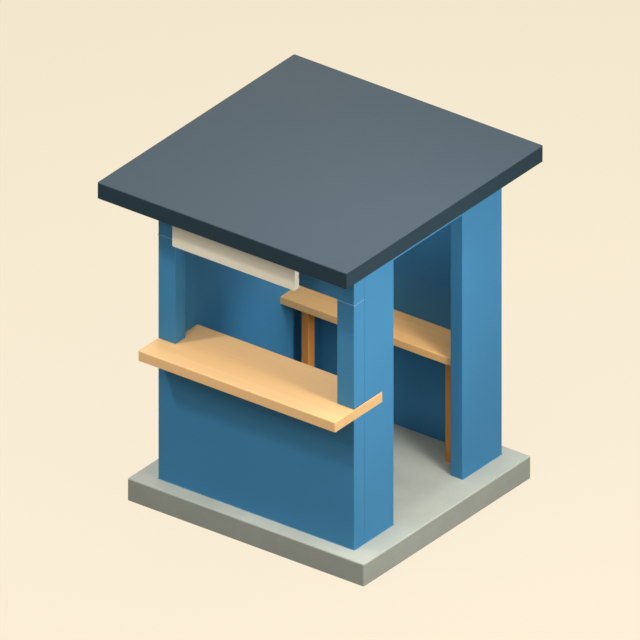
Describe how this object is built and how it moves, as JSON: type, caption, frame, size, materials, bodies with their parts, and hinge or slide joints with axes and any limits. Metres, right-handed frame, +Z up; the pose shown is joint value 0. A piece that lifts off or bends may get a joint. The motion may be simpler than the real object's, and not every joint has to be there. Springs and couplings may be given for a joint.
{
  "type": "street kiosk",
  "caption": "Walk-in street kiosk on a concrete pad: blue panel walls, wooden serving counter through an open hatch, side doorway, back worktop, blank sign board and flat overhanging roof.",
  "frame": {"origin": "middle of the kiosk's overall box, at ground level under the pad", "axes": "+Z up; +Y from the serving front to the back wall; +X to the right as seen from the street, the doorway's side"},
  "size_m": [2.224, 2.344, 2.71],
  "materials": {
    "concrete": "cast concrete, trowelled top and formed edges, matt",
    "blue_paint": "panels painted mid blue, satin",
    "roof_sheet": "dark grey single-ply roof sheet, matt",
    "fascia_paint": "boards painted dark slate grey, satin",
    "counter_wood": "pale oiled hardwood, satin",
    "worktop_wood": "pale oiled hardwood, satin",
    "leg_wood": "brown stained softwood, satin",
    "sign_paint": "board painted cream, satin",
    "galvanised_steel": "galvanised, dull"
  },
  "bodies": {
    "root": {"base_slab": "concrete", "front_panel": "blue_paint", "front_post_left": "blue_paint", "front_post_right": "blue_paint", "front_header": "blue_paint", "left_wall": "blue_paint", "right_wall_front": "blue_paint", "door_header": "blue_paint", "right_wall_rear": "blue_paint", "back_wall": "blue_paint", "serving_counter": "counter_wood", "back_counter_top": "worktop_wood", "back_counter_ledger": "leg_wood", "back_counter_leg_left": "leg_wood", "back_counter_leg_right": "leg_wood", "roof_deck": "fascia_paint", "roof_covering": "roof_sheet", "fascia_front": "fascia_paint", "fascia_right": "fascia_paint", "fascia_back": "fascia_paint", "fascia_left": "fascia_paint", "ceiling_board": "fascia_paint", "soffit_front": "fascia_paint", "soffit_back": "fascia_paint", "soffit_left": "fascia_paint", "soffit_right": "fascia_paint", "sign_board": "sign_paint", "sign_angle_left": "galvanised_steel", "sign_angle_right": "galvanised_steel"}
  },
  "joints": []
}
